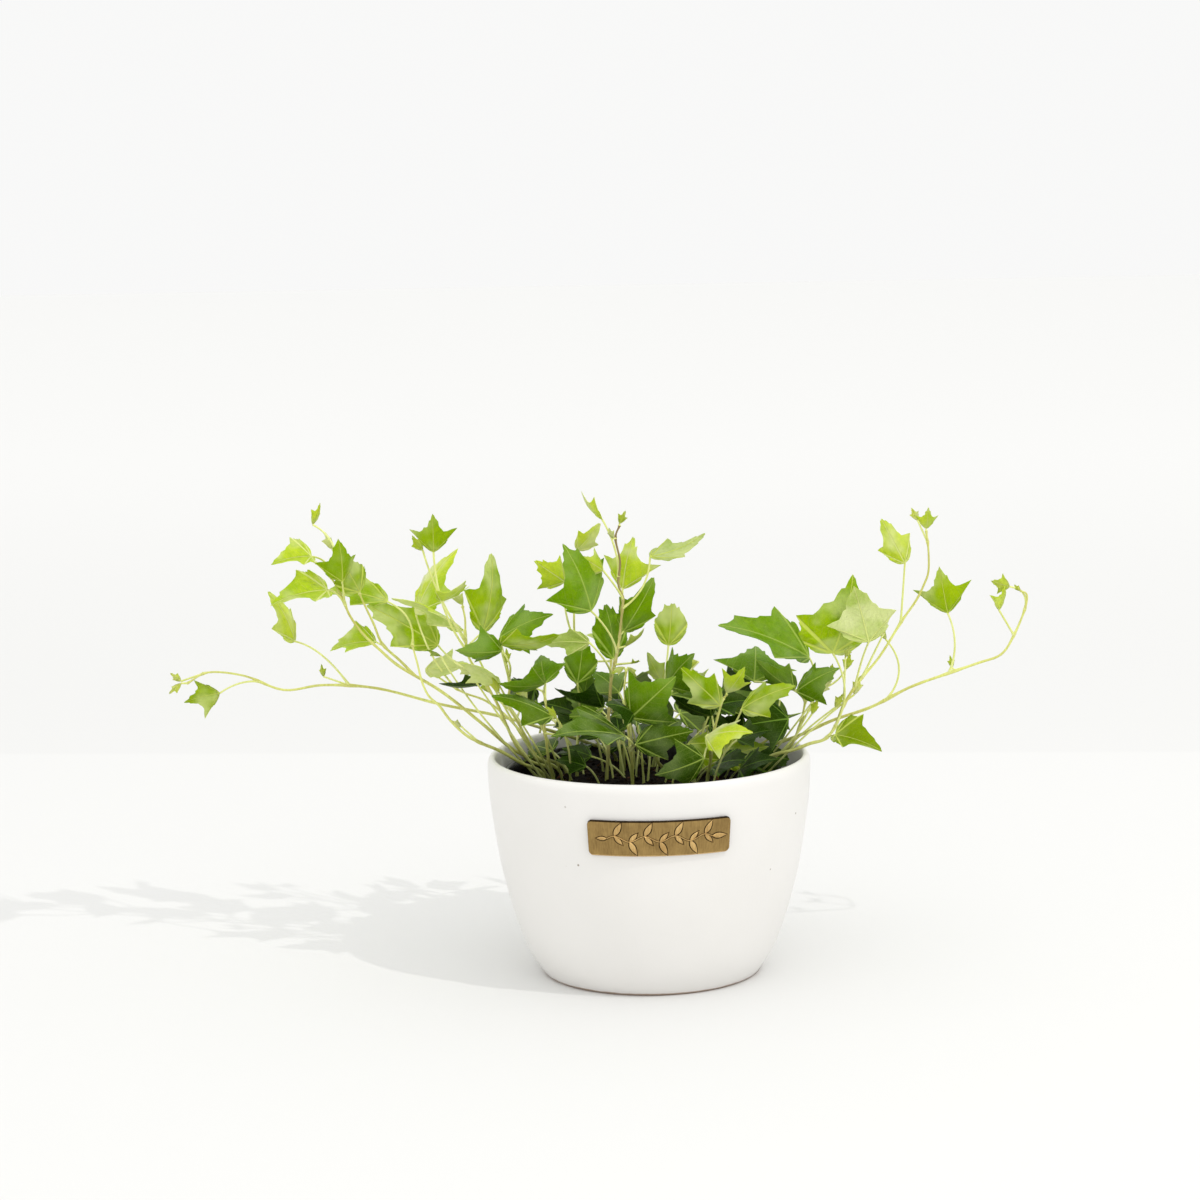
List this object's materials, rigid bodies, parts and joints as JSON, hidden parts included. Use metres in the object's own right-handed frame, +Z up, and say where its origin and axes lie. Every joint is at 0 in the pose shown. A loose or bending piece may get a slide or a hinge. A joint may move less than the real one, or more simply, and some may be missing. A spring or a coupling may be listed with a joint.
{
  "type": "potted ivy",
  "caption": "Trailing ivy in a round ceramic planter: leafy stems rooted in the soil of a nursery pot that stands inside the planter, with a small metal plate on its front.",
  "frame": {"origin": "centre of the planter's flat underside, on the surface that it stands on", "axes": "+Z up; -Y the front, where the plate is; +X to the right as seen from the front, along the plant's longest spread"},
  "size_m": [0.4061, 0.1899, 0.2279],
  "materials": {
    "glazed_ceramic": "satin white glaze",
    "brass": "brushed, aged",
    "black_plastic": "semi-gloss black",
    "soil": "crumbly, matte",
    "ivy": "waxy leaves"
  },
  "bodies": {
    "root": {"pot": "glazed_ceramic", "plate": "brass", "nursery_pot": "black_plastic", "soil": "soil", "vine_far_left": "ivy", "vine_left_top": "ivy", "vine_left_low": "ivy", "vine_left_leafy": "ivy", "vine_left_arch": "ivy", "vine_left_inner": "ivy", "vine_left_front": "ivy", "vine_centre_left": "ivy", "vine_centre_tall": "ivy", "vine_centre_front": "ivy", "vine_centre_right": "ivy", "vine_right_front": "ivy", "vine_right_dark": "ivy", "vine_right_mid": "ivy", "vine_far_right": "ivy", "vine_right_top": "ivy", "vine_back_left": "ivy", "vine_back_middle": "ivy", "vine_back_right": "ivy", "vine_back_upright": "ivy", "vine_back_low": "ivy"}
  },
  "joints": []
}
